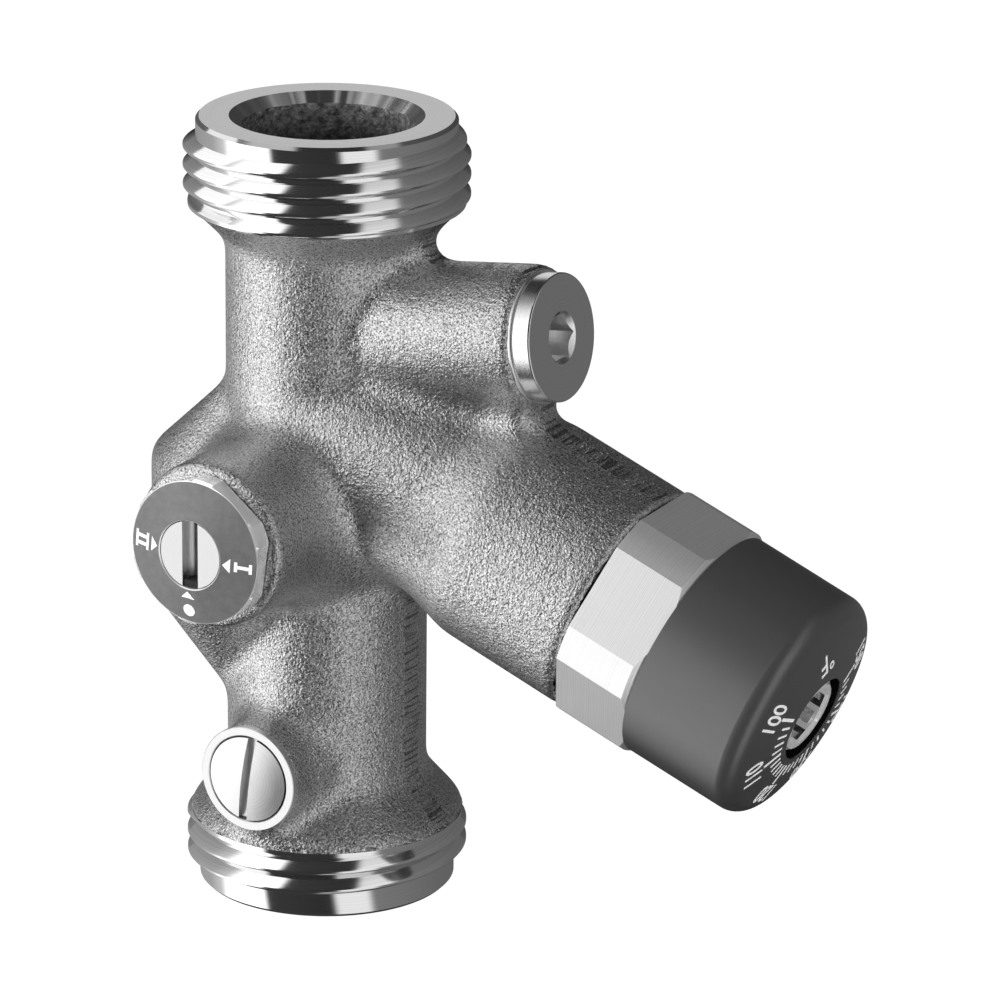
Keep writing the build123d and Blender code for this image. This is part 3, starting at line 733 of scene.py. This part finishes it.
# Port plug: small turned screw plug with a domed, polished head and a driver slot, sunk in
# the boss at the foot.
port_metal = turned_finish("port_plug_metal", port_frame, 0.72, 0.86, 0.33, 0.005 * mm)
port_plug = take_copy(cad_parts["port_plug"], "port_plug_turned")
driven = Matrix.Rotation(math.radians(-7.7), 4, "Z")
port_plug.data.transform(port_frame @ driven @ port_frame.inverted())
bpy.ops.object.shade_smooth_by_angle(angle=math.radians(30))
coat(port_plug, port_metal)
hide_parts("port_plug")
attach(port_plug, "valve")

# Pieces inside the branch: turned brass sleeve, element and plunger parts; drawn spring wire
# and snap rings; moulded rubber rings and seals.
inner_brass = turned_finish("inner_turned_metal", branch_frame, 0.5, 0.66, 0.28)
for node_name in (
    "setting_sleeve", "expansion_element", "plunger", "plunger_nut", "element_piston",
):
    coat(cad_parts[node_name], inner_brass)
wire, tree, shader = new_material("drawn_wire", Metallic=1.0)
drawn = mottle(tree, 2500, 3)
tree.links.new(ramp(tree, drawn, [(0.3, 0.4), (0.7, 0.62)]), shader.inputs["Base Color"])
tree.links.new(ramp(tree, drawn, [(0.3, 0.2), (0.7, 0.38)]), shader.inputs["Roughness"])
for node_name in ("return_spring", "overtravel_spring", "element_ring"):
    coat(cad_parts[node_name], wire)
rubber, tree, shader = new_material("moulded_rubber", Roughness=0.6)
bloom = mottle(tree, 1800, 4)
tree.links.new(ramp(tree, bloom, [(0.3, 0.012), (0.7, 0.03)]), shader.inputs["Base Color"])
tree.links.new(bump(tree, bloom, 0.02 * mm, 0.5), shader.inputs["Normal"])
for node_name in (
    "bonnet_seal", "spindle_o_ring", "plunger_seal", "sensor_plug_o_ring", "selector_o_ring",
    "port_plug_o_ring",
):
    coat(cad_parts[node_name], rubber)

# Plain studio: pale floor, white behind the valve, pale panels with dark gaps between them
# for the bright metal to mirror, three soft lamps, and a small card that the side of the
# flow chamber mirrors.
camera_elevation = math.radians(18.4177)
camera_distance = 689.086 * mm
camera_yaw = math.radians(1.6855)
camera_target = Vector((0, 0, 46.6 * mm))

deselect_everything()
bpy.ops.mesh.primitive_circle_add(
    vertices=96, radius=3.0, fill_type="NGON", location=(0, 0, -0.3 * mm)
)
floor = bpy.context.object
floor.name = floor.data.name = "floor"
floor_paint, tree, shader = new_material("pale_floor", Roughness=0.9)
shader.inputs["Base Color"].default_value = (0.9, 0.9, 0.9, 1)
seen = add_node(tree, "ShaderNodeLightPath").outputs["Is Camera Ray"]
white = add_node(tree, "ShaderNodeEmission", Strength=1.05).outputs[0]
mix = add_node(tree, "ShaderNodeMixShader", {0: seen, 1: shader.outputs[0], 2: white})
tree.links.new(mix.outputs[0], tree.nodes["Material Output"].inputs["Surface"])
coat(floor, floor_paint)
floor.visible_glossy = False

world = bpy.data.worlds.new("studio")
bpy.context.scene.world = world
world.use_nodes = True
tree = world.node_tree
background = tree.nodes["Background"]
direction = add_node(tree, "ShaderNodeTexCoord").outputs["Generated"]
toward_camera = Vector((0, -math.cos(camera_elevation), math.sin(camera_elevation)))
turn = add_node(
    tree, "ShaderNodeVectorRotate", {"Vector": direction, "Angle": -camera_azimuth},
    rotation_type="Z_AXIS",
).outputs[0]
half_way = vector_math(tree, "NORMALIZE", vector_math(tree, "ADD", turn, toward_camera))
facing = add_node(tree, "ShaderNodeSeparateXYZ", {"Vector": half_way}).outputs
back = value_math(tree, "MULTIPLY", facing["Y"], -1.0)
azimuth = value_math(tree, "ARCTAN2", facing["X"], back)
slant = value_math(tree, "MULTIPLY", facing["Z"], 0.3)
slanted = value_math(tree, "SUBTRACT", azimuth, slant)
panels = [
    (-180, 0.3), (-90, 0.22), (-62, 0.28), (-53, 0.45), (-48, 1.12), (-28, 1.12), (-25.5, 0.03),
    (4, 0.02), (6.5, 0.62), (20, 0.62), (23, 0.14), (60, 0.1), (100, 0.08), (180, 0.3),
]
panel_stops = [((degrees + 180) / 360, grey) for degrees, grey in panels]
studio = ramp(tree, fade(tree, slanted, -math.pi, math.pi), panel_stops)
height = fade(tree, facing["Z"], -1.0, 1.0)
levels = [
    (0.03, [(0.0, 1.0), (0.2, 1.0), (0.39, 0.0), (1.0, 0.0)]),
    (0.02, [(0.0, 0.0), (0.69, 0.0), (0.83, 0.5), (0.93, 1.0)]),
    (0.54, [(0.0, 0.0), (0.986, 0.0), (0.995, 1.0)]),
]
for grey, stops in levels:
    studio = mix_colours(tree, ramp(tree, height, stops), studio, (grey, grey, grey, 1))
bright = vector_math(tree, "MULTIPLY", studio, (1.35, 1.35, 1.35))
seen = add_node(tree, "ShaderNodeLightPath").outputs
mirrored = value_math(tree, "MAXIMUM", seen["Is Glossy Ray"], seen["Is Transmission Ray"])
plain = mix_colours(tree, seen["Is Camera Ray"], (0.3, 0.3, 0.3, 1), (1, 1, 1, 1))
chosen = mix_colours(tree, mirrored, plain, bright)
tree.links.new(chosen, background.inputs["Color"])


def soft_lamp(name, degrees, elevation, distance, size, power, target=camera_target):
    """Square area lamp aimed at the valve; degrees are counted from the camera to its right."""
    deselect_everything()
    way = camera_azimuth + math.radians(degrees)
    tilt = math.radians(elevation)
    aim = Vector((math.sin(way) * math.cos(tilt), -math.cos(way) * math.cos(tilt), math.sin(tilt)))
    bpy.ops.object.light_add(type="AREA", location=target + aim * distance)
    lamp = bpy.context.object
    lamp.name = lamp.data.name = name
    lamp.rotation_euler = aim.to_track_quat("Z", "Y").to_euler()
    lamp.data.size = size
    lamp.data.energy = power
    lamp.visible_glossy = False
    return lamp


soft_lamp("left_lamp", -72, 14, 0.9, 0.5, 10)
soft_lamp("right_lamp", 28, 25, 0.9, 0.3, 3)
soft_lamp("top_lamp", -50, 76, 0.9, 0.4, 3)
chamber_side = Vector((-12 * mm, -8 * mm, 57 * mm))
card = soft_lamp("chamber_card", -110, 42, 0.1, 0.07, 0.012, chamber_side)
card.visible_glossy = True
card.visible_camera = False
card.visible_diffuse = False

view_line = Vector((
    math.sin(camera_azimuth) * math.cos(camera_elevation),
    -math.cos(camera_azimuth) * math.cos(camera_elevation),
    math.sin(camera_elevation),
))
level = Vector((math.cos(camera_azimuth), math.sin(camera_azimuth), 0))
ahead = -view_line * math.cos(camera_yaw) + level * math.sin(camera_yaw)
side = level * math.cos(camera_yaw) + view_line * math.sin(camera_yaw)
bpy.ops.object.camera_add()
camera = bpy.context.object
camera.matrix_world = Matrix((side, side.cross(ahead), -ahead)).transposed().to_4x4()
camera.location = camera_target + view_line * camera_distance
camera.data.lens = 211.4957
camera.data.sensor_width = 36
camera.data.clip_start = 0.05
bpy.context.scene.camera = camera
bpy.context.scene.view_settings.view_transform = "Standard"
